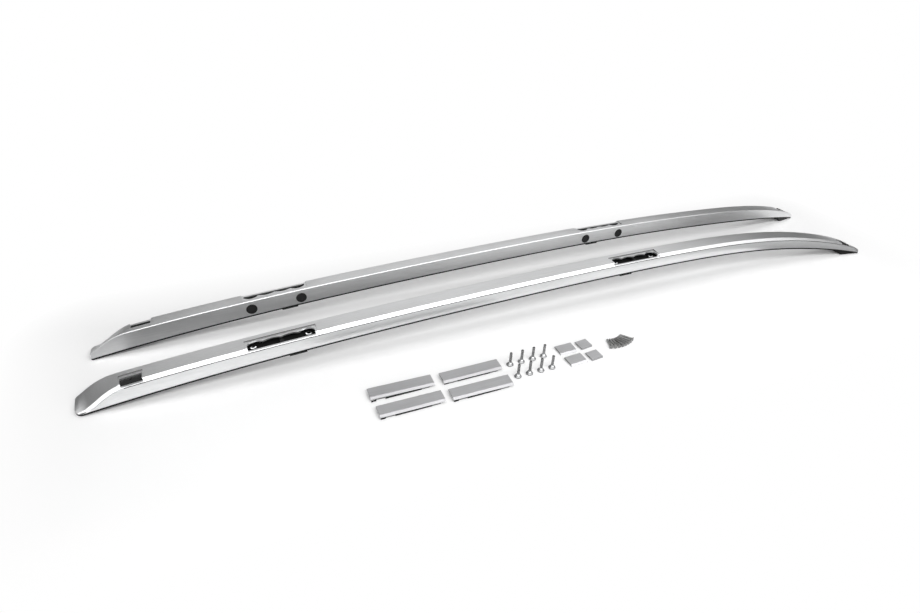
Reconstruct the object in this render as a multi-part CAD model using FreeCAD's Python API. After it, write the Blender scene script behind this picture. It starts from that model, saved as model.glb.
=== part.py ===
"""Pair of roof side rails with their covers and fixings laid beside them. Millimetres, +Z up.

X runs along the rails from the blunt front end to the thin rear end. The left rail lies at -Y and
shows its outer side there, the right rail is its mirror image at +Y. The floor is Z = 0, and the
origin is on it, under the middle of everything.
"""
import FreeCAD
import Part
import math
import os

V = FreeCAD.Vector

# Rail as a whole
rail_length = 2105.0
half_length = rail_length / 2
rail_width = 43.5
rail_gap = 132.5           # between the inner faces of the two rails
right_rail_shift = 16.6    # the right rail lies a little further back
base_heights = (3.5, 79.4, 52.0, 122.3, 3.5)   # control heights of the base curve, evenly spaced
bow_start = half_length - 554.5   # the tail bends outward in plan from here
bow_radius = 3440.0

# Section
section_height = 34.3
front_deepening = 4.1      # extra height one metre forward of the middle
flat_width = 36.6
flat_growth = 3.0          # the flat widens by this much where the section thins out to a tip
flat_fall = 2.2
bevel_width = 5.2
bevel_fall = 7.0
groove_depth = 1.5
groove_height = 1.7
nose_detail = 16.0         # on the nose the bevel and groove shrink where the height is below this
groove_least = 0.05
groove_gone = 0.55         # share of the full height at which the groove has faded out
groove_whole = 0.9         # share at which it has its whole depth
side_lip = 0.5             # the side starts this far outside the bevel's foot
side_bulge = 1.9
inner_corner = 1.6
side_wall = 3.0
outer_wall = 3.6
roof_wall = 6.2
shoulder_u = 31.5          # the cavity's roof steps down behind the bevel here
shoulder_width = 2.5
shoulder_fall = 12.0
run_out = 20.0             # cutting bodies pass this far beyond what they cut

# Ends
nose_start = 48.0          # the sloped nose meets the inner top edge this far from the tip
nose_slope = 0.6
nose_skew = 0.64           # and starts this much further back per millimetre outward
nose_blend = 15.7          # rounds the nose into the top
tail_start = half_length - 402.5
tail_reach = 404.0
tip_height = 4.0
front_corner_radius = 17.0
rear_corner_radius = 10.0
inner_corner_radius = 4.0
front_solid = 30.0         # the rail is solid for this length at its tips
rear_solid = 22.0

# Windows: middle along X, length
long_windows = (382.5 - half_length, half_length - 838.0)
long_window_length = 144.4
front_window_x = 102.5 - half_length
front_window_length = 43.5
rear_window_x = half_length - 60.5
rear_window_length = 31.0
window_back_u = 11.5
seat_depth = 3.0
land_depth = 8.4
land_inset = 2.5           # the deeper land starts this far inside the bevel
end_land = 2.0             # seat left at each end of a small window
hole_back_u = 18.5
hole_front_u = 36.0
hole_depth = 22.0
cusp_u = 22.5              # the teeth of the seat's scalloped back lip reach this far outward
cusp_places = (-68.0, -36.0, 0.0, 36.0, 68.0)
bay_backs = (15.0, 18.0, 18.0, 15.0)   # back of the hole between the teeth

# Round plugs in the inner side
plug_spacing = 110.0
plug_drop = 20.8
plug_diameter = 24.0
plug_rim = 1.0
plug_rounding = 0.6
plug_hole = 21.0
plug_skirt = 3.0
plug_skirt_wall = 1.6
plug_dish_border = 3.0
plug_dish = 0.4

# Brackets under the long windows
bracket_length = 150.0
bolt_spacing = 112.0
bolt_u = 22.5
bracket_floor_drop = 17.0
bracket_floor = 4.0
bracket_wall = 2.5
bracket_end_wall = 4.0
rib_width = 7.0
rib_drop = 9.2
boss_diameter = 15.0
bolt_hole = 7.0
boss_top_drop = 13.5
bush_diameter = 13.0
bush_height = 2.0
pad_length = 36.0
pad_width = 30.0
pad_offset = 26.0          # towards the middle of the rail
pad_drop = 11.0

# Gasket under the rail's edge
gasket = 3.3
gasket_lap = 0.4
gasket_strip = 5.5

# End feet
front_foot_length = 128.0
rear_foot_length = 78.0
front_foot_ramp = 110.0    # its underside falls from the gasket to the floor over this length
rear_foot_ramp = 15.0
foot_play = 0.2            # around the sole, inside the gasket's loop
foot_screw_hole = 4.4
foot_screw_u = 24.5

# Covers
long_cover_length = 135.0
cover_play = 0.3
cover_plate = 2.0
cover_lip = 1.4            # thickness of the bevel's free edge
long_cover_drop = 4.5      # the bevel's free edge lies this far below the back edge
small_cover_drop = 5.0     # small covers stand on their bevel and tongue
clip_length = 18.0
clip_width = 16.0
clip_play = 0.2
clip_wall = 1.6
clip_height = 6.5
clip_inset = 20.0          # from the cover's end to the middle of a clip
clip_lug = 3.3             # height of the lug that reaches forward under the bevel
lug_setback = 1.0
rear_cover_flat = 24.0
rear_cover_bevel = 2.0
tongue = 2.0               # thickness of the tongue under a small cover
tongue_inset = 3.0

# Fixings
bolt_length = 32.5
bolt_diameter = 6.0
bolt_head = 15.5
bolt_flange = 2.0
bolt_cone = 7.0
bolt_neck = 8.5
bolt_chamfer = 0.8
bolt_socket = 5.0
bolt_socket_depth = 3.5
screw_length = 33.0
screw_diameter = 4.8
screw_head = 9.0
screw_head_height = 3.2
screw_head_rim = 0.5
screw_chamfer = 1.0

# Where the taken-off pieces lie: middle in X and Y
long_cover_places = ((-468.0, -247.0), (-466.0, -301.0), (-314.2, -251.5), (-315.7, -305.7))
long_cover_turns = (-1.6, -0.7, 0.1, -0.7)
front_cover_places = ((-78.0, -253.6), (-78.2, -294.8))
rear_cover_places = ((-29.7, -252.4), (-30.1, -295.1))
small_cover_turns = (1.0, 3.5)
rear_cover_turns = (6.0, 4.5)
bolt_columns = (-222.5, -194.5, -166.5, -138.5)
bolt_rows = (-255.6, -296.8)
bolt_row_slant = -3.0      # the nearer row starts this much further forward
fan_centre = (48.4, -210.3)
fan_radius = 80.4
fan_start = -108.0
fan_step = 7.06
fixing_count = 8

# Spacing of the sections along the rail
finest_step = 9.0
coarsest_step = 60.0
step_growth = 0.2


def base_z(x):
    """Height of the rail's bottom edge: a fourth-degree curve through control heights."""
    t = (x + half_length) / rail_length
    weights = [math.comb(4, k) * t ** k * (1 - t) ** (4 - k) for k in range(5)]
    return sum(w * z for w, z in zip(weights, base_heights))


def full_height(x):
    """Height of the section before its ends are worked."""
    deepening = front_deepening * (min(x, 0.0) / 1000.0) ** 2
    return section_height + deepening


def nose_drop(x, u):
    """How far the sloped nose lies below the full height: a skewed plane, blended into the top."""
    drop = nose_slope * (nose_start - half_length - x + nose_skew * u)
    if abs(drop) < nose_blend:
        drop = (drop + nose_blend) ** 2 / (4 * nose_blend)
    return max(drop, 0.0)


def height(x, u=0.0):
    """Height of the section at x and u, with the front nose and the rear taper."""
    h = full_height(x)
    if x > tail_start:
        share = min((x - tail_start) / tail_reach, 1.0)
        return tip_height + (h - tip_height) * math.sqrt(1 - share ** 2)
    return max(h - nose_drop(x, u), tip_height)


def thinning(x, u=0.0):
    """Height at x and u as a share of the full height."""
    return height(x, u) / full_height(x)


def top_z(x):
    return base_z(x) + height(x)


def slope(x):
    """Angle of the top line at x, in degrees."""
    return math.degrees(math.atan2(top_z(x + 1) - top_z(x - 1), 2))


def bow(x):
    """How far the rail has moved outward in plan."""
    return max(x - bow_start, 0.0) ** 2 / (2 * bow_radius)


def place(x, u, z):
    """Point of the left rail: u is outward from the inner face, towards -Y."""
    return V(x, -rail_gap / 2 - bow(x) - u, z)


def flat_edge(x):
    """Outer edge of the flat at x, measured from the inner face."""
    return flat_width + flat_growth * (1 - thinning(x, flat_width))


def edge_share(x):
    """How much of the bevel and groove is left at x."""
    if x > tail_start:
        return thinning(x)
    return min(height(x, flat_width) / nose_detail, 1.0)


def below_edge(x, u, fall):
    """Point at u, a fall below the flat's outer edge that shrinks with the bevel."""
    return place(x, u, base_z(x) + height(x, flat_edge(x)) - fall * edge_share(x))


def below_top(x, u, fall):
    """Point at u below the surface: the fall is that of the full section and thins out with it."""
    return place(x, u, base_z(x) + height(x, u) - fall * thinning(x, u))


def line(a, b):
    return Part.LineSegment(a, b).toShape()


def arc(a, b, c):
    return Part.Arc(a, b, c).toShape()


def polygon(points):
    return Part.Wire([line(a, b) for a, b in zip(points, points[1:] + points[:1])])


def stations(first, last):
    """Places of the sections: their spacing grows evenly away from the worked ends."""
    nose_end = nose_start - half_length + nose_blend / nose_slope + nose_skew * rail_width
    places = [first]
    while True:
        x = places[-1]
        distance = min(max(x - nose_end, 0.0), half_length - x)
        step = min(finest_step + step_growth * distance, coarsest_step)
        if x + 1.5 * step > last:
            break
        places.append(x + step)
    places.append(last)
    return places


def outer_section(x):
    flat = flat_edge(x)
    share = edge_share(x)
    bevel_u = flat + bevel_width * share
    bevel_z = flat_fall + bevel_fall
    groove_share = (share - groove_gone) / (groove_whole - groove_gone)
    groove = groove_least + groove_depth * max(0.0, min(1.0, groove_share))
    corner = inner_corner * thinning(x)
    arc_mid = 1 - math.sqrt(0.5)

    a = below_top(x, 0, inner_corner)
    a_mid = below_top(x, corner * arc_mid, inner_corner * arc_mid)
    b = below_top(x, corner, 0)
    c = below_edge(x, flat, flat_fall)
    d = below_edge(x, bevel_u, bevel_z)
    e = below_edge(x, bevel_u - groove, bevel_z + groove_height / 2)
    f = below_edge(x, bevel_u + side_lip * share, bevel_z + groove_height)
    g = place(x, rail_width, base_z(x))
    j = place(x, 0, base_z(x))
    side_mid = place(x, (bevel_u + rail_width) / 2 + side_bulge * thinning(x, flat), (f.z + g.z) / 2)
    top_edges = [line(j, a), arc(a, a_mid, b), line(b, c), line(c, d)]
    side_edges = [line(d, e), line(e, f), arc(f, side_mid, g), line(g, j)]
    return Part.Wire(top_edges + side_edges)


def cavity_section(x):
    outer_u = rail_width - outer_wall
    below = base_z(x) - gasket - run_out
    points = [below_top(x, side_wall, roof_wall), below_top(x, shoulder_u, roof_wall)]
    points += [below_edge(x, u, shoulder_fall) for u in (shoulder_u + shoulder_width, outer_u)]
    points += [place(x, outer_u, below), place(x, side_wall, below)]
    return polygon(points)


def strip_section(x, inner_u, outer_u, rise, drop):
    """Rectangle that follows the base curve."""
    z = base_z(x)
    corners = ((inner_u, rise), (outer_u, rise), (outer_u, -drop), (inner_u, -drop))
    return polygon([place(x, u, z + dz) for u, dz in corners])


def loft(section, first, last):
    return Part.makeLoft([section(x) for x in stations(first, last)], True, True)


def local_frame(x):
    """Placement on the rail's top at x: its X follows the top line and its -Y is outward."""
    return FreeCAD.Placement(place(x, 0, top_z(x)), FreeCAD.Rotation(V(0, 1, 0), -slope(x)))


def local_box(x, along, u, fall):
    """Box in the frame of the top line: along, outward u and fall below the top, each (from, to)."""
    box = Part.makeBox(along[1] - along[0], u[1] - u[0], fall[1] - fall[0])
    box.translate(V(along[0], -u[1], -fall[1]))
    box.Placement = local_frame(x).multiply(box.Placement)
    return box


def upright_cylinder(x, u, low, high, diameter):
    """Cylinder along Z between two heights."""
    return Part.makeCylinder(diameter / 2, high - low, place(x, u, low))


def corner_cutter(x, u, x_sign, u_sign, radius):
    """What lies outside a rounded upright corner of a tip."""
    centre = place(x, u, -run_out)
    reach = 2 * radius
    tall = section_height + 2 * run_out
    low_x = min(centre.x, centre.x + x_sign * reach)
    low_y = min(centre.y, centre.y + u_sign * reach)
    box = Part.makeBox(reach, reach, tall, V(low_x, low_y, -run_out))
    return box.cut(Part.makeCylinder(radius, tall, centre))


def tip_cutters():
    """The four rounded tip corners; the outer side is towards -Y."""
    cutters = []
    for x_sign in (-1, 1):
        x = x_sign * half_length
        outer_radius = front_corner_radius if x < 0 else rear_corner_radius
        corners = ((rail_width + side_lip, -1, outer_radius), (0.0, 1, inner_corner_radius))
        for u, u_sign, radius in corners:
            centre_x = x - x_sign * radius
            shift = bow(x) - bow(centre_x)
            centre_u = u + u_sign * radius + shift
            cutters.append(corner_cutter(centre_x, centre_u, x_sign, u_sign, radius))
    return cutters


def long_hole():
    """Outline of the hole through a long window's seat, with the scalloped back lip."""
    first, last = cusp_places[0], cusp_places[-1]
    edges = [line(V(first, -cusp_u, 0), V(first, -hole_front_u, 0)),
             line(V(first, -hole_front_u, 0), V(last, -hole_front_u, 0)),
             line(V(last, -hole_front_u, 0), V(last, -cusp_u, 0))]
    for a, b, back_u in reversed(list(zip(cusp_places, cusp_places[1:], bay_backs))):
        edges.append(arc(V(b, -cusp_u, 0), V((a + b) / 2, -back_u, 0), V(a, -cusp_u, 0)))
    return Part.Face(Part.Wire(edges)).extrude(V(0, 0, hole_depth + run_out))


def window_cuts(x, length, hole):
    """Seat for a cover, the deeper land in the bevel and the hole through the roof wall."""
    share = thinning(x)
    half = length / 2
    outside = rail_width + run_out
    seat = local_box(x, (-half, half), (window_back_u, outside), (-run_out, seat_depth * share))
    land = local_box(x, (-half, half), (flat_edge(x) - land_inset, outside), (-run_out, land_depth * share))
    hole.translate(V(0, 0, -hole_depth))
    hole.Placement = local_frame(x).multiply(hole.Placement)
    return [seat, land, hole]


def small_hole(x, length):
    half = length / 2 - end_land
    front = hole_front_u + flat_edge(x) - flat_width
    return Part.makeBox(half * 2, front - hole_back_u, hole_depth + run_out, V(-half, -front, 0))


def plug_places():
    for window in long_windows:
        for side in (-1, 1):
            yield window + side * plug_spacing / 2


def plug_axis(x):
    """Placement of a plug hole: its Z points outward through the inner wall."""
    centre = place(x, 0, top_z(x) - plug_drop)
    return FreeCAD.Placement(centre, FreeCAD.Rotation(V(1, 0, 0), 90))


def at_plug(shape, x):
    shape.Placement = plug_axis(x).multiply(shape.Placement)
    return shape


def make_cavity():
    return loft(cavity_section, front_solid - half_length, half_length - rear_solid)


def make_rail(cavity):
    rail = loft(outer_section, -half_length, half_length)
    cuts = [cavity] + tip_cutters()
    for x in long_windows:
        cuts += window_cuts(x, long_window_length, long_hole())
    for x, length in ((front_window_x, front_window_length), (rear_window_x, rear_window_length)):
        cuts += window_cuts(x, length, small_hole(x, length))
    for x in plug_places():
        cuts.append(at_plug(Part.makeCylinder(plug_hole / 2, 2 * side_wall, V(0, 0, -side_wall / 2)), x))
    for cut in cuts:
        rail = rail.cut(cut)
    return rail


def make_gasket():
    """Soft edge strip: a long loop under the rail's rim, open in the middle."""
    loop = loft(lambda x: strip_section(x, -gasket_lap, rail_width + gasket_lap, 0, gasket),
                -half_length, half_length)
    inner_half = half_length - gasket_strip
    inner = loft(lambda x: strip_section(x, gasket_strip, rail_width - gasket_strip, 2, gasket + 2),
                 -inner_half, inner_half)
    for cut in [inner] + tip_cutters():
        loop = loop.cut(cut)
    return loop


def make_plug(x):
    """Round cap with a thin rim and a hollow skirt in the hole."""
    rim = Part.makeCylinder(plug_diameter / 2, plug_rim, V(0, 0, -plug_rim))
    shown_edge = [edge for edge in rim.Edges if edge.BoundBox.ZMax < -plug_rim / 2]
    rim = rim.makeFillet(plug_rounding, shown_edge)
    skirt = Part.makeCylinder(plug_hole / 2, plug_skirt)
    hollow = Part.makeCylinder(plug_hole / 2 - plug_skirt_wall, plug_skirt)
    dish = Part.makeCylinder(plug_diameter / 2 - plug_dish_border, plug_dish, V(0, 0, -plug_rim))
    return at_plug(rim.fuse(skirt).cut(hollow).cut(dish), x)


def bolt_places(x):
    return (x - bolt_spacing / 2, x + bolt_spacing / 2)


def boss_top(x):
    return top_z(x) - boss_top_drop


def make_bracket(x, cavity):
    """Black tray that fills the cavity under a long window, with two bolt bosses and a pad."""
    half = bracket_length / 2
    base_drop = full_height(x)
    inside = half - bracket_end_wall
    inside_u = (side_wall + bracket_wall, rail_width - outer_wall - bracket_wall)
    blank = local_box(x, (-half, half), (0, rail_width), (0, bracket_floor_drop + bracket_floor)).common(cavity)
    tray = local_box(x, (-inside, inside), inside_u, (0, bracket_floor_drop))
    body = blank.cut(tray)
    toward_middle = 1 if x < 0 else -1
    pad_middle = toward_middle * pad_offset
    pad = local_box(x, (pad_middle - pad_length / 2, pad_middle + pad_length / 2),
                    (bolt_u - pad_width / 2, bolt_u + pad_width / 2), (bracket_floor_drop, base_drop + pad_drop))
    body = body.fuse(pad)
    rib_fall = (rib_drop, bracket_floor_drop + bracket_floor)
    body = body.fuse(local_box(x, (-rib_width / 2, rib_width / 2), inside_u, rib_fall).common(cavity))
    for bolt_x in bolt_places(x):
        low = base_z(bolt_x) - gasket
        body = body.fuse(upright_cylinder(bolt_x, bolt_u, low, boss_top(bolt_x), boss_diameter))
    for bolt_x in bolt_places(x):
        low = base_z(bolt_x) - run_out
        body = body.cut(upright_cylinder(bolt_x, bolt_u, low, top_z(bolt_x), bolt_hole))
    return body.removeSplitter()


def make_bushes(x):
    """Metal rings on the two bosses, where the bolt heads bear."""
    rings = []
    for bolt_x in bolt_places(x):
        low = boss_top(bolt_x)
        ring = upright_cylinder(bolt_x, bolt_u, low, low + bush_height, bush_diameter)
        rings.append(ring.cut(upright_cylinder(bolt_x, bolt_u, low, low + bush_height, bolt_hole)))
    return Part.makeCompound(rings)


def make_foot(tip_side, length, ramp_length, window_x, cavity, gasket_loop):
    """Black block in an end of the rail: it fills the cavity and its sole stands on the floor."""
    near = tip_side * half_length
    far = tip_side * (half_length - length)
    margin = gasket_strip + foot_play
    sole_end = tip_side * (half_length - margin)
    sole = loft(lambda x: strip_section(x, margin, rail_width - margin, -foot_play, run_out),
                min(sole_end, far), max(sole_end, far))
    reach = rail_gap / 2 + bow(half_length) + rail_width + run_out
    corner = V(min(near, far), -reach, -reach)
    block = cavity.common(Part.makeBox(length, reach, 2 * reach, corner)).fuse(sole)
    block = block.cut(Part.makeBox(length, reach, reach, corner))
    rise = base_z(far) - gasket
    heel = far + tip_side * ramp_length
    ramp = polygon([V(far, -reach, 0), V(far, -reach, rise), V(heel, -reach, 0)])
    block = block.cut(Part.Face(ramp).extrude(V(0, reach, 0))).cut(gasket_loop)
    return block.cut(upright_cylinder(window_x, foot_screw_u, -run_out, top_z(window_x), foot_screw_hole))


def cover_profile(flat, bevel_w, bevel_h):
    """Section of a cover across the rail: flat, bevel and the underside of both."""
    edge = flat + bevel_w
    top = [(0, 0), (flat, -flat_fall * flat / flat_width), (edge, -bevel_h)]
    under = [(edge - cover_lip, -bevel_h), (flat - cover_lip, -cover_plate), (0, -cover_plate)]
    return [V(0, -u, z) for u, z in top + under]


def make_cover(length, flat, bevel_w, bevel_h, back_height):
    """Cover with its middle over the origin and its back edge at a height above the floor."""
    face = Part.Face(polygon(cover_profile(flat, bevel_w, bevel_h)))
    cover = face.extrude(V(length, 0, 0))
    cover.translate(V(-length / 2, (flat + bevel_w) / 2, back_height))
    return cover


def make_small_cover(length, flat, bevel_w):
    """End cover: one piece with a tongue under its back edge."""
    cover = make_cover(length, flat, bevel_w, small_cover_drop, small_cover_drop)
    back = (flat + bevel_w) / 2 - tongue_inset
    low = V(-length / 2 + tongue_inset, back - tongue, 0)
    tall = small_cover_drop - cover_plate / 2
    return cover.fuse(Part.makeBox(length - 2 * tongue_inset, tongue, tall, low))


def make_clips(length, flat, bevel_w):
    """Two U-shaped spring clips under a cover's flat, with a lug forward under the bevel."""
    front = clip_play + cover_lip + (bevel_w - flat) / 2
    lug_reach = bevel_w + clip_play + cover_lip - lug_setback
    clips = []
    for side in (-1, 1):
        low = V(side * (length / 2 - clip_inset) - clip_length / 2, front, 0)
        outer = Part.makeBox(clip_length, clip_width, clip_height, low)
        hollow = V(0, clip_wall, clip_wall)
        inner = Part.makeBox(clip_length, clip_width - 2 * clip_wall, clip_height - clip_wall, low + hollow)
        lug = Part.makeBox(clip_length, lug_reach, clip_lug, low - V(0, lug_reach, 0))
        clips.append(outer.cut(inner).fuse(lug))
    return Part.makeCompound(clips)


def laid(shape, xy, turn):
    shape = shape.copy()
    shape.rotate(V(0, 0, 0), V(0, 0, 1), turn)
    shape.translate(V(xy[0], xy[1], 0))
    return shape


def make_bolt():
    """Bolt standing on its flanged conical head, turned about its axis."""
    head, neck, shank, cut = bolt_head / 2, bolt_neck / 2, bolt_diameter / 2, bolt_chamfer
    profile = ((0, 0), (head - cut, 0), (head, cut), (head, bolt_flange), (neck, bolt_cone),
               (shank, bolt_cone + cut), (shank, bolt_length - cut), (shank - cut, bolt_length), (0, bolt_length))
    outline = polygon([V(radius, 0, z) for radius, z in profile])
    body = Part.Face(outline).revolve(V(0, 0, 0), V(0, 0, 1), 360)
    socket_corner = V(bolt_socket / math.sqrt(3), 0, 0)
    corners = [FreeCAD.Rotation(V(0, 0, 1), 60 * k).multVec(socket_corner) for k in range(6)]
    return body.cut(Part.Face(polygon(corners)).extrude(V(0, 0, bolt_socket_depth)))


def make_screw():
    """Countersunk screw along +X from its head, lying on the rim of its head and its end."""
    head = screw_head / 2
    shank = screw_diameter / 2
    end = screw_length - screw_chamfer
    profile = ((0, 0), (0, head), (screw_head_rim, head), (screw_head_height, shank), (end, shank),
               (screw_length, shank - screw_chamfer), (screw_length, 0))
    outline = polygon([V(x, 0, radius) for x, radius in profile])
    body = Part.Face(outline).revolve(V(0, 0, 0), V(1, 0, 0), 360)
    tilt = math.degrees(math.atan2(head - shank, end - screw_head_rim))
    body.rotate(V(0, 0, 0), V(0, 1, 0), tilt)
    body.translate(V(0, 0, -body.BoundBox.ZMin))
    return body


def make_bolts():
    bolt = make_bolt()
    bolts = []
    for row, y in enumerate(bolt_rows):
        for x in bolt_columns:
            bolts.append(laid(bolt, (x + row * bolt_row_slant, y), x))
    return Part.makeCompound(bolts)


def make_screws():
    screw = make_screw()
    screws = []
    for k in range(fixing_count):
        angle = math.radians(fan_start + k * fan_step)
        x = fan_centre[0] + fan_radius * math.cos(angle)
        y = fan_centre[1] + fan_radius * math.sin(angle)
        screws.append(laid(screw, (x, y), math.degrees(angle) + 180))
    return Part.makeCompound(screws)


def rail_pieces():
    """Every piece of the left rail, by its name without the side."""
    cavity = make_cavity()
    pieces = {"rail": make_rail(cavity), "gasket": make_gasket()}
    for name, x in zip(("front", "rear"), long_windows):
        pieces[name + "_bracket"] = make_bracket(x, cavity)
        pieces[name + "_bushes"] = make_bushes(x)
    pieces["front_foot"] = make_foot(-1, front_foot_length, front_foot_ramp, front_window_x, cavity, pieces["gasket"])
    pieces["rear_foot"] = make_foot(1, rear_foot_length, rear_foot_ramp, rear_window_x, cavity, pieces["gasket"])
    for number, x in enumerate(plug_places(), 1):
        pieces["plug_%d" % number] = make_plug(x)
    return pieces


def all_pieces():
    nodes = {}
    for name, shape in rail_pieces().items():
        nodes["left_" + name] = shape
        mirrored = shape.mirror(V(0, 0, 0), V(0, 1, 0))
        mirrored.translate(V(right_rail_shift, 0, 0))
        nodes["right_" + name] = mirrored
    flat = flat_width - window_back_u - cover_play
    cover = make_cover(long_cover_length, flat, bevel_width, long_cover_drop, cover_plate + clip_height)
    clips = make_clips(long_cover_length, flat, bevel_width)
    for number, (xy, turn) in enumerate(zip(long_cover_places, long_cover_turns), 1):
        nodes["long_cover_%d" % number] = laid(cover, xy, turn)
        nodes["long_cover_clips_%d" % number] = laid(clips, xy, turn)
    small = make_small_cover(front_window_length - 2 * cover_play, flat, bevel_width)
    for number, (xy, turn) in enumerate(zip(front_cover_places, small_cover_turns), 1):
        nodes["front_end_cover_%d" % number] = laid(small, xy, turn)
    tail = make_small_cover(rear_window_length - 2 * cover_play, rear_cover_flat, rear_cover_bevel)
    for number, (xy, turn) in enumerate(zip(rear_cover_places, rear_cover_turns), 1):
        nodes["rear_end_cover_%d" % number] = laid(tail, xy, turn)
    nodes["fixing_bolts"] = make_bolts()
    nodes["foot_screws"] = make_screws()
    return nodes


def main():
    os.makedirs("parts", exist_ok=True)
    nodes = all_pieces()
    box = Part.makeCompound(list(nodes.values())).optimalBoundingBox(False, False)
    shift = V(-box.Center.x, -box.Center.y, -box.ZMin)
    for name, shape in nodes.items():
        shape.translate(shift)
        shape.exportStep("parts/%s.step" % name)
        print("%-26s solids %d valid %s volume %.0f" % (name, len(shape.Solids), shape.isValid(), shape.Volume))
    print("box %.1f x %.1f x %.1f" % (box.XLength, box.YLength, box.ZLength), "moved by", shift, "nodes", len(nodes))


main()
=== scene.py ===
"""Finish, light and camera for the pair of roof side rails, in metres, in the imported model's frame."""

import math
import bpy
from mathutils import Matrix, Vector


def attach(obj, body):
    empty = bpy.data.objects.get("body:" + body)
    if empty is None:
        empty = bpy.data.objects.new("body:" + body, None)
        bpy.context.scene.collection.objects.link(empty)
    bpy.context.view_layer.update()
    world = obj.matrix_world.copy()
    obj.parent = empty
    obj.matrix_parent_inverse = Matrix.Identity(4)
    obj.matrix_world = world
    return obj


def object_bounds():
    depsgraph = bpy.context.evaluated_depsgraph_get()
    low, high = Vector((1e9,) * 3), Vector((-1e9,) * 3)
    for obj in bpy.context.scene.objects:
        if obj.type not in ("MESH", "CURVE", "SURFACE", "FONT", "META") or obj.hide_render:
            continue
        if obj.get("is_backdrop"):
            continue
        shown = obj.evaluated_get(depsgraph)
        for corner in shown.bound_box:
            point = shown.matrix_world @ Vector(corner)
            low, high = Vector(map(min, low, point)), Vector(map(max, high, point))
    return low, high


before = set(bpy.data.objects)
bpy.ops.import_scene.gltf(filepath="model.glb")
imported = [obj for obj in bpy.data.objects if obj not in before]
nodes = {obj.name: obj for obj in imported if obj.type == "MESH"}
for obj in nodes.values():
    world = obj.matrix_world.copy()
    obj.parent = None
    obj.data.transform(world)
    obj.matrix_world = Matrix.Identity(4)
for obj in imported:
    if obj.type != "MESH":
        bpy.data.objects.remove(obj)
cad_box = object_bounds()

# Camera
IMAGE_WIDTH = 920.0
FOCAL_PIXELS = 591.0
SENSOR_MM = 36.0
CAMERA_PLACE = Vector((-0.7743, -1.0284, 0.800))
HEADING = math.radians(25.876)     # of the camera's right axis, clockwise from +X
PITCH_DOWN = math.radians(33.093)
ROLL = math.radians(3.261)
CLIP_END = 200


def make_camera():
    right = Vector((math.cos(HEADING), -math.sin(HEADING), 0))
    level = Vector((math.sin(HEADING), math.cos(HEADING), 0))
    forward = level * math.cos(PITCH_DOWN) - Vector((0, 0, math.sin(PITCH_DOWN)))
    up = level * math.sin(PITCH_DOWN) + Vector((0, 0, math.cos(PITCH_DOWN)))
    x = right * math.cos(ROLL) + up * math.sin(ROLL)
    y = up * math.cos(ROLL) - right * math.sin(ROLL)
    data = bpy.data.cameras.new("camera")
    data.sensor_fit = "HORIZONTAL"
    data.sensor_width = SENSOR_MM
    data.lens = SENSOR_MM * FOCAL_PIXELS / IMAGE_WIDTH
    data.clip_end = CLIP_END
    camera = bpy.data.objects.new("camera", data)
    turn = Matrix((x, y, -forward)).transposed().to_4x4()
    camera.matrix_world = Matrix.Translation(CAMERA_PLACE) @ turn
    bpy.context.scene.collection.objects.link(camera)
    bpy.context.scene.camera = camera


# Node helpers
class Tree:
    """Short ways to add and join nodes in a material or world."""

    def __init__(self, owner):
        owner.use_nodes = True
        self.tree = owner.node_tree
        self.tree.nodes.clear()

    def add(self, kind, **inputs):
        node = self.tree.nodes.new(kind)
        for name, value in inputs.items():
            self.put(node, name.replace("_", " "), value)
        return node

    def put(self, node, name, value):
        socket = node.inputs[name]
        if isinstance(value, bpy.types.NodeSocket):
            self.tree.links.new(value, socket)
        else:
            socket.default_value = value

    def math(self, operation, a, b=0.0):
        node = self.tree.nodes.new("ShaderNodeMath")
        node.operation = operation
        for socket, value in zip(node.inputs, (a, b)):
            if isinstance(value, bpy.types.NodeSocket):
                self.tree.links.new(value, socket)
            else:
                socket.default_value = value
        return node.outputs[0]

    def stretched(self, scale):
        place = self.add("ShaderNodeTexCoord").outputs["Object"]
        return self.add("ShaderNodeMapping", Vector=place, Scale=scale).outputs[0]

    def noise(self, scale, detail=3.0, rough=0.55):
        vector = self.stretched(scale)
        node = self.add("ShaderNodeTexNoise", Vector=vector, Scale=1.0, Detail=detail, Roughness=rough)
        return node.outputs["Fac"]

    def ramp(self, factor, stops):
        """Grey or colour ramp: stops of (place, value or colour)."""
        node = self.add("ShaderNodeValToRGB", Fac=factor)
        for k, (place, value) in enumerate(stops):
            colour = value if isinstance(value, tuple) else (value, value, value)
            element = node.color_ramp.elements[k] if k < 2 else node.color_ramp.elements.new(place)
            element.position = place
            element.color = (*colour, 1)
        return node.outputs["Color"]

    def range(self, factor, low, high):
        node = self.add("ShaderNodeMapRange", Value=factor, To_Min=low, To_Max=high)
        return node.outputs[0]

    def seen(self):
        """1 in sight of the camera, also in reflections and through glass; 0 for the light given off."""
        rays = self.add("ShaderNodeLightPath")
        direct = self.math("MAXIMUM", rays.outputs["Is Camera Ray"], rays.outputs["Is Glossy Ray"])
        return self.math("MAXIMUM", direct, rays.outputs["Is Transmission Ray"])

    def bump(self, height, distance, strength=1.0):
        node = self.add("ShaderNodeBump", Height=height, Distance=distance, Strength=strength)
        return node.outputs[0]

    def join(self, kind, first, second, **inputs):
        """Shader that adds or mixes two others, which are its last two inputs."""
        node = self.add(kind, **inputs)
        self.tree.links.new(first.outputs[0], node.inputs[-2])
        self.tree.links.new(second.outputs[0], node.inputs[-1])
        return node

    def put_out(self, kind, shader):
        output = self.add(kind)
        self.tree.links.new(shader.outputs[0], output.inputs["Surface"])


def shade(material, tree, **sockets):
    tree.put_out("ShaderNodeOutputMaterial", tree.add("ShaderNodeBsdfPrincipled", **sockets))
    return material


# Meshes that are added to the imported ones
def add_piece(name, points, faces, material):
    mesh = bpy.data.meshes.new(name)
    mesh.from_pydata(points, [], faces)
    mesh.materials.append(material)
    piece = bpy.data.objects.new(name, mesh)
    bpy.context.scene.collection.objects.link(piece)
    return piece


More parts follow.
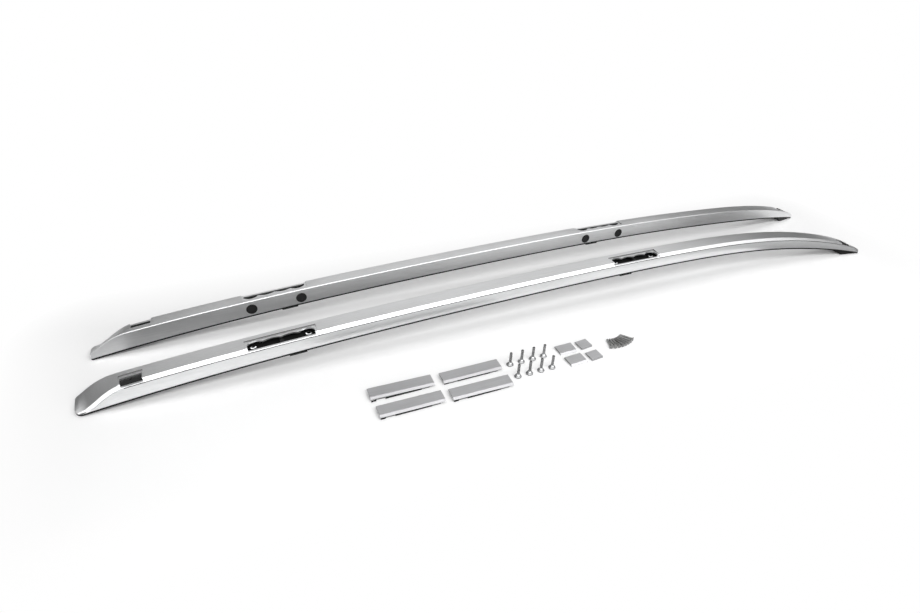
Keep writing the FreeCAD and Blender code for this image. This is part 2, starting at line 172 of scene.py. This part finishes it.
# Materials
def aluminium(name, colour, along=(6, 900, 900)):
    """Satin anodised aluminium with fine brushing along the rail and faint broad clouding."""
    material = bpy.data.materials.new(name)
    tree = Tree(material)
    streaks = tree.noise(along, 4.0, 0.6)
    clouds = tree.noise((3, 14, 14), 2.0, 0.5)
    grain = tree.noise((2500, 2500, 2500), 2.0, 0.5)
    mixed = tree.math("ADD", tree.math("MULTIPLY", streaks, 0.6), tree.math("MULTIPLY", clouds, 0.4))
    dark = tuple(c * 0.88 for c in colour)
    light = tuple(min(c * 1.08, 1.0) for c in colour)
    tone = tree.ramp(mixed, ((0.3, dark), (0.7, light)))
    rough = tree.range(mixed, 0.30, 0.42)
    relief = tree.math("ADD", tree.math("MULTIPLY", streaks, 0.7), tree.math("MULTIPLY", grain, 0.3))
    return shade(
        material, tree, Base_Color=tone, Metallic=1.0, Roughness=rough,
        Normal=tree.bump(relief, 0.00004, 0.6))


def rubber(name):
    """Matt black rubber with a fine grain."""
    material = bpy.data.materials.new(name)
    tree = Tree(material)
    grain = tree.noise((700, 700, 700), 4.0, 0.6)
    tone = tree.ramp(grain, ((0.3, 0.006), (0.7, 0.014)))
    return shade(
        material, tree, Base_Color=tone, Roughness=tree.range(grain, 0.6, 0.8),
        Specular_IOR_Level=0.15, Normal=tree.bump(grain, 0.0001, 0.5))


def plastic(name, low, high, shine=0.5, grain_scale=900, rough=(0.42, 0.6)):
    """Moulded plastic with a fine spark-eroded grain."""
    material = bpy.data.materials.new(name)
    tree = Tree(material)
    grain = tree.noise((grain_scale,) * 3, 3.0, 0.6)
    clouds = tree.noise((25, 25, 25), 2.0, 0.5)
    mixed = tree.math("MULTIPLY", tree.math("ADD", grain, clouds), 0.5)
    tone = tree.ramp(mixed, ((0.3, low), (0.7, high)))
    return shade(
        material, tree, Base_Color=tone, Roughness=tree.range(grain, *rough),
        Specular_IOR_Level=shine, Normal=tree.bump(grain, 0.00006, 0.5))


def metal(name, dark, light, rough):
    """Plated steel: small cloudy tone changes and faint turning marks."""
    material = bpy.data.materials.new(name)
    tree = Tree(material)
    clouds = tree.noise((120, 120, 120), 3.0, 0.6)
    marks = tree.noise((300, 300, 2600), 2.0, 0.5)
    tone = tree.ramp(clouds, ((0.3, dark), (0.7, light)))
    return shade(
        material, tree, Base_Color=tone, Metallic=1.0, Roughness=tree.range(clouds, *rough),
        Normal=tree.bump(marks, 0.00003, 0.5))


THREAD_PITCH = 0.001
THREAD_START = 0.010       # the bolts stand on their heads: the thread starts at this height
THREAD_PAINTED_SHADE = 0.20        # how much darker the painted shade makes the thread's valleys
THREAD_RELIEF = 0.0003


def threaded_zinc(name):
    """Zinc plate with the rolled thread of the bolts' shanks as fine dark and light rings: a bump relief,
    with painted shade in the thread's valleys.
    """
    material = bpy.data.materials.new(name)
    tree = Tree(material)
    place = tree.add("ShaderNodeTexCoord").outputs["Object"]
    height = tree.add("ShaderNodeSeparateXYZ", Vector=place).outputs["Z"]
    wave = tree.math("SINE", tree.math("MULTIPLY", height, 2 * math.pi / THREAD_PITCH))
    ridge = tree.math("MULTIPLY", tree.math("ADD", wave, 1.0), 0.5)
    threaded = tree.math("GREATER_THAN", height, THREAD_START)
    clouds = tree.noise((120, 120, 120), 3.0, 0.6)
    valley_shade = tree.math("MULTIPLY", tree.math("SUBTRACT", 1.0, ridge), threaded)
    tone = tree.math("SUBTRACT", tree.range(clouds, 0.36, 0.54), tree.math("MULTIPLY", valley_shade, THREAD_PAINTED_SHADE))
    colour = tree.ramp(tone, ((0.0, (0.0, 0.0, 0.0)), (1.0, (0.98, 0.99, 1.0))))
    relief = tree.bump(tree.math("MULTIPLY", ridge, threaded), THREAD_RELIEF, 0.7)
    rough = tree.range(clouds, 0.2, 0.34)
    return shade(material, tree, Base_Color=colour, Metallic=1.0, Roughness=rough, Normal=relief)


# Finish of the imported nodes
def finish_of(name, finishes):
    if "gasket" in name:
        return finishes["rubber"]
    if "clips" in name:
        return finishes["clip"]
    if "cover" in name:
        return finishes["cover"]
    if name.endswith("rail"):
        return finishes["rail"]
    if name == "fixing_bolts":
        return finishes["bolt"]
    if "bushes" in name:
        return finishes["zinc"]
    if name == "foot_screws":
        return finishes["screw"]
    return finishes["plastic"]


SHARP_ANGLE = math.radians(24)
WELD_GAP = 0.000002


def smooth_node(obj):
    """Curved surfaces shade evenly and the sharp edges stay; the mesh itself isn't changed."""
    for polygon in obj.data.polygons:
        polygon.use_smooth = True
    weld = obj.modifiers.new("weld", "WELD")
    weld.merge_threshold = WELD_GAP
    split = obj.modifiers.new("split", "EDGE_SPLIT")
    split.split_angle = SHARP_ANGLE


# Painted shade: the groove and the upright walls of the windows get a dark aluminium that stands in for
# the shade in them
WALL_DEPTH = 0.0055        # a window's wall ends this far below the top line
TIP_CLEAR = 0.03           # faces nearer than this to a tip aren't window walls
WALL_OUT = 0.97            # parts of a wall's normal, sideways or along the rail
WALL_ALONG = 0.9
GROOVE_OUT = (0.3, 0.8)    # parts of the normals of the groove's two faces
GROOVE_DOWN = -0.55
GROOVE_UP = (0.82, 0.97)
GROOVE_ALONG = 0.2


def top_line(mesh):
    """Upper outline of an arched rail, seen from the side: the upper hull of its points."""
    hull = []
    for x, z in sorted({(round(v.co.x, 5), v.co.z) for v in mesh.vertices}):
        while len(hull) > 1:
            (x1, z1), (x2, z2) = hull[-2:]
            if (x2 - x1) * (z - z1) < (z2 - z1) * (x - x1):
                break
            hull.pop()
        hull.append((x, z))
    return hull


def depth_below(line, point):
    """How far a point lies below the upper outline."""
    for (x1, z1), (x2, z2) in zip(line, line[1:]):
        if x1 <= point.x <= x2 and x2 > x1:
            return z1 + (z2 - z1) * (point.x - x1) / (x2 - x1) - point.z
    return 0.0


def painted_shade_faces(obj):
    """Faces of the groove and of the upright walls of the windows, which are painted dark as shade."""
    mesh = obj.data
    side = -1 if obj.name.startswith("left") else 1
    line = top_line(mesh)
    first, last = line[0][0] + TIP_CLEAR, line[-1][0] - TIP_CLEAR
    for polygon in mesh.polygons:
        out, up, along = side * polygon.normal.y, polygon.normal.z, abs(polygon.normal.x)
        tilted = up < GROOVE_DOWN or GROOVE_UP[0] < up < GROOVE_UP[1]
        groove = GROOVE_OUT[0] < out < GROOVE_OUT[1] and tilted and along < GROOVE_ALONG
        wall = (out > WALL_OUT or along > WALL_ALONG) and first < polygon.center.x < last
        if wall:
            wall = all(depth_below(line, mesh.vertices[k].co) < WALL_DEPTH for k in polygon.vertices)
        if groove or wall:
            yield polygon


# Black strip under the long covers' front rim, seen beside the front clip and between the clips: taken as
# the covers' moulded underside, it also paints the shade in the gap under the rim
LONG_COVERS = 4
CLIP_INSET = 0.011
CLIP_LENGTH = 0.018
STRIP_CLEAR = 0.0006       # from the clips and the cover's ends
STRIP_SET_BACK = 0.0003    # behind the rim's face
STRIP_DEPTH = 0.0011
STRIP_FOOT = 0.0007        # above the floor
RIM_HEIGHT = 0.0039        # the strip's top, just under the rim's free edge


def box_piece(name, low, high, material):
    (x0, y0, z0), (x1, y1, z1) = low, high
    points = [(x, y, z) for z in (z0, z1) for x, y in ((x0, y0), (x1, y0), (x1, y1), (x0, y1))]
    faces = [(3, 2, 1, 0), (4, 5, 6, 7)] + [(k, (k + 1) % 4, (k + 1) % 4 + 4, k + 4) for k in range(4)]
    piece = add_piece(name, points, faces, material)
    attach(piece, "root")


def make_rim_shade_strips(material):
    for k in range(1, LONG_COVERS + 1):
        cover = nodes["long_cover_%d" % k]
        corners = [cover.matrix_world @ Vector(corner) for corner in cover.bound_box]
        x0, x1 = min(c.x for c in corners), max(c.x for c in corners)
        front = min(c.y for c in corners) + STRIP_SET_BACK
        clip = CLIP_INSET + CLIP_LENGTH
        spans = ((x0, x0 + CLIP_INSET), (x0 + clip, x1 - clip))
        for n, (start, end) in enumerate(spans, 1):
            low = (start + STRIP_CLEAR, front, STRIP_FOOT)
            high = (end - STRIP_CLEAR, front + STRIP_DEPTH, RIM_HEIGHT)
            box_piece("long_cover_strip_%d_%d" % (k, n), low, high, material)


TIP_HEIGHT = 0.0295    # the bolts' ends above this height are dark
TOP_FACE = 0.95        # upward part of the normal of a cover's brushed top; less is its bright rim, and faces that face down are painted dark as shade


def dress_nodes():
    finishes = {
        "rail": aluminium("rail_aluminium", (0.82, 0.825, 0.83)),
        "cover": aluminium("cover_aluminium", (0.55, 0.55, 0.56), (20, 700, 700)),
        "rim": aluminium("rim_aluminium", (0.42, 0.42, 0.43), (20, 700, 700)),
        "rubber": rubber("gasket_rubber"),
        "plastic": plastic("black_plastic", 0.008, 0.016, 0.22),
        "clip": plastic("clip_plastic", 0.13, 0.20),
        "zinc": metal("bright_zinc", (0.55, 0.56, 0.57), (0.8, 0.81, 0.82), (0.14, 0.28)),
        "bolt": threaded_zinc("threaded_zinc"),
        "screw": metal("dark_screw_steel", (0.17, 0.17, 0.17), (0.34, 0.34, 0.335), (0.28, 0.42)),
    }
    # Dark aluminium: painted shade on the rail's groove, window walls and the covers' downward faces;
    # also the bolts' dark tips
    shade_and_tip_dark = aluminium("painted_shade_and_tip_aluminium", (0.10, 0.10, 0.10))
    for name, obj in nodes.items():
        obj.data.materials.clear()
        obj.data.materials.append(finish_of(name, finishes))
        if name.endswith("rail"):
            obj.data.materials.append(shade_and_tip_dark)
            for polygon in painted_shade_faces(obj):
                polygon.material_index = 1
        if name == "fixing_bolts":
            obj.data.materials.append(shade_and_tip_dark)
            for polygon in obj.data.polygons:
                if all(obj.data.vertices[k].co.z > TIP_HEIGHT for k in polygon.vertices):
                    polygon.material_index = 1
        if "cover" in name and "clips" not in name:
            obj.data.materials.append(finishes["rim"])
            obj.data.materials.append(shade_and_tip_dark)
            for polygon in obj.data.polygons:
                up = polygon.normal.z
                # faces facing down take the dark aluminium: painted shade under the cover
                polygon.material_index = 0 if up > TOP_FACE else 1 if up > 0 else 2
        smooth_node(obj)
    make_rim_shade_strips(finishes["plastic"])


# Surroundings
WHITE = (1, 1, 1, 1)
ONE_FACE = [(0, 1, 2, 3)]
FLOOR_HALF = 60.0
FLOOR_DROP = 0.0003                # the floor lies this far under the soles
FLOOR_GREY = 0.92
FLOOR_LIFT = 0.05                  # glow of the floor, in sight of the camera and of reflections
FLOOR_NEAR = (1.03, 0.24, 0.0)     # half-lengths of the part of the floor that shows all its shadows
FADE_START = 0.02
FADE_RATE = 6.0                    # per metre, from there to plain white
WORLD_GREY = 0.16


def floor_material():
    """Pale floor that keeps the shadows near the object and is plain white further out."""
    material = bpy.data.materials.new("floor")
    tree = Tree(material)
    place = tree.add("ShaderNodeTexCoord").outputs["Object"]
    beyond = place
    steps = (("ABSOLUTE", None), ("SUBTRACT", FLOOR_NEAR), ("MAXIMUM", (0, 0, 0)), ("LENGTH", None))
    for operation, value in steps:
        step = tree.tree.nodes.new("ShaderNodeVectorMath")
        step.operation = operation
        tree.tree.links.new(beyond, step.inputs[0])
        if value is not None:
            step.inputs[1].default_value = value
        beyond = step.outputs["Value" if operation == "LENGTH" else "Vector"]
    far = tree.math("MULTIPLY", tree.math("SUBTRACT", beyond, FADE_START), FADE_RATE)
    far = tree.math("MINIMUM", tree.math("MAXIMUM", far, 0.0), 1.0)
    seen = tree.seen()
    diffuse = tree.add("ShaderNodeBsdfDiffuse", Color=(FLOOR_GREY, FLOOR_GREY, FLOOR_GREY, 1))
    glow = tree.math("MULTIPLY", seen, FLOOR_LIFT)
    lift = tree.add("ShaderNodeEmission", Color=WHITE, Strength=glow)
    near = tree.join("ShaderNodeAddShader", diffuse, lift)
    white = tree.add("ShaderNodeEmission", Color=WHITE, Strength=1.0)
    mix = tree.join("ShaderNodeMixShader", near, white, Fac=tree.math("MULTIPLY", far, seen))
    tree.put_out("ShaderNodeOutputMaterial", mix)
    return material


def make_floor():
    size = FLOOR_HALF
    corners = [(-size, -size, 0), (size, -size, 0), (size, size, 0), (-size, size, 0)]
    floor = add_piece("floor", corners, ONE_FACE, floor_material())
    floor.location.z = -FLOOR_DROP
    floor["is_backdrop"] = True


def make_world():
    world = bpy.data.worlds.new("studio")
    bpy.context.scene.world = world
    tree = Tree(world)
    light = tree.add("ShaderNodeBackground", Color=WHITE, Strength=WORLD_GREY)
    white = tree.add("ShaderNodeBackground", Color=WHITE, Strength=1.0)
    mix = tree.join("ShaderNodeMixShader", light, white, Fac=tree.seen())
    tree.put_out("ShaderNodeOutputWorld", mix)


def softbox(name, place, target, size, strength):
    """Area lamp; strength is the brightness of its face."""
    data = bpy.data.lights.new(name, "AREA")
    data.shape = "RECTANGLE"
    data.size, data.size_y = size
    data.energy = strength * math.pi * size[0] * size[1]
    lamp = bpy.data.objects.new(name, data)
    direction = Vector(target) - Vector(place)
    turn = direction.to_track_quat("-Z", "Y").to_matrix().to_4x4()
    lamp.matrix_world = Matrix.Translation(place) @ turn
    bpy.context.scene.collection.objects.link(lamp)


def make_lights():
    softbox("top", (0.1, 0.2, 2.4), (0.1, 0.0, 0.0), (4.5, 1.4), 1.1)
    softbox("key", (0.2, -2.0, 2.5), (0.1, 0.0, 0.0), (4.5, 1.0), 5.6)
    softbox("front", (0.9, -3.0, 1.5), (0.3, 0.0, 0.0), (7.6, 1.8), 1.1)
    softbox("back", (0.9, 2.6, 1.9), (0.3, 0.1, 0.0), (5.8, 1.4), 0.68)
    softbox("left_front", (-2.6, -1.4, 0.6), (-1.0, -0.1, 0.05), (1.5, 1.0), 1.3)


CARD_HEIGHT = -0.0001      # between the floor and the soles


def standing(start, end, tall):
    (x0, y0), (x1, y1) = start, end
    return [(x0, y0, 0), (x1, y1, 0), (x1, y1, tall), (x0, y0, tall)]


def lying(x_range, y_range):
    (x0, x1), (y0, y1) = x_range, y_range
    z = CARD_HEIGHT
    return [(x0, y0, z), (x1, y0, z), (x1, y1, z), (x0, y1, z)]


def card(name, grey, corners, shades=False):
    """Grey card out of the camera's sight that tones the reflections, a painted reflection where it shows
    only there; some also hold light back.
    """
    material = bpy.data.materials.new(name)
    shade(material, Tree(material), Base_Color=(grey, grey, grey, 1), Roughness=0.9)
    piece = add_piece(name, corners, ONE_FACE, material)
    piece.visible_camera = False
    piece.visible_diffuse = shades
    piece.visible_shadow = shades
    piece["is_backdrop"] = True


def make_cards():
    card("right_flag", 0.03, standing((2.4, -1.2), (2.4, 3.2), 1.2), shades=True)
    card("left_flag", 0.12, standing((-2.6, -0.3), (-2.6, 2.2), 1.3), shades=True)
    card("back_card", 0.30, standing((-8.0, 3.2), (9.0, 3.2), 6.0))
    card("fore_card", 0.25, standing((9.0, -3.6), (-8.0, -3.6), 2.0))
    # Painted shade and reflections: sheets on the floor seen only in reflections; the gap card paints the
    # near rail's shadow on the floor between the rails, the others darken the floor seen near the noses,
    # the tail and in front of the near rail
    card("gap_shade_card", 0.30, lying((-0.98, 1.0), (-0.02, 0.15)))
    card("nose_card", 0.60, lying((-1.25, -0.98), (-0.02, 0.15)))
    card("far_nose_card", 0.45, lying((-1.30, -0.80), (0.22, 0.80)))
    card("tail_card", 0.35, lying((0.72, 1.40), (-0.60, -0.05)))
    card("front_card", 0.50, lying((-0.60, -0.15), (-0.45, -0.09)))


bpy.context.scene.view_settings.view_transform = "Standard"
make_camera()
make_floor()
make_world()
make_lights()
make_cards()
dress_nodes()

boxes = {"cad": cad_box, "visual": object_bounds()}
{name: [list(corner) for corner in box] for name, box in boxes.items()}
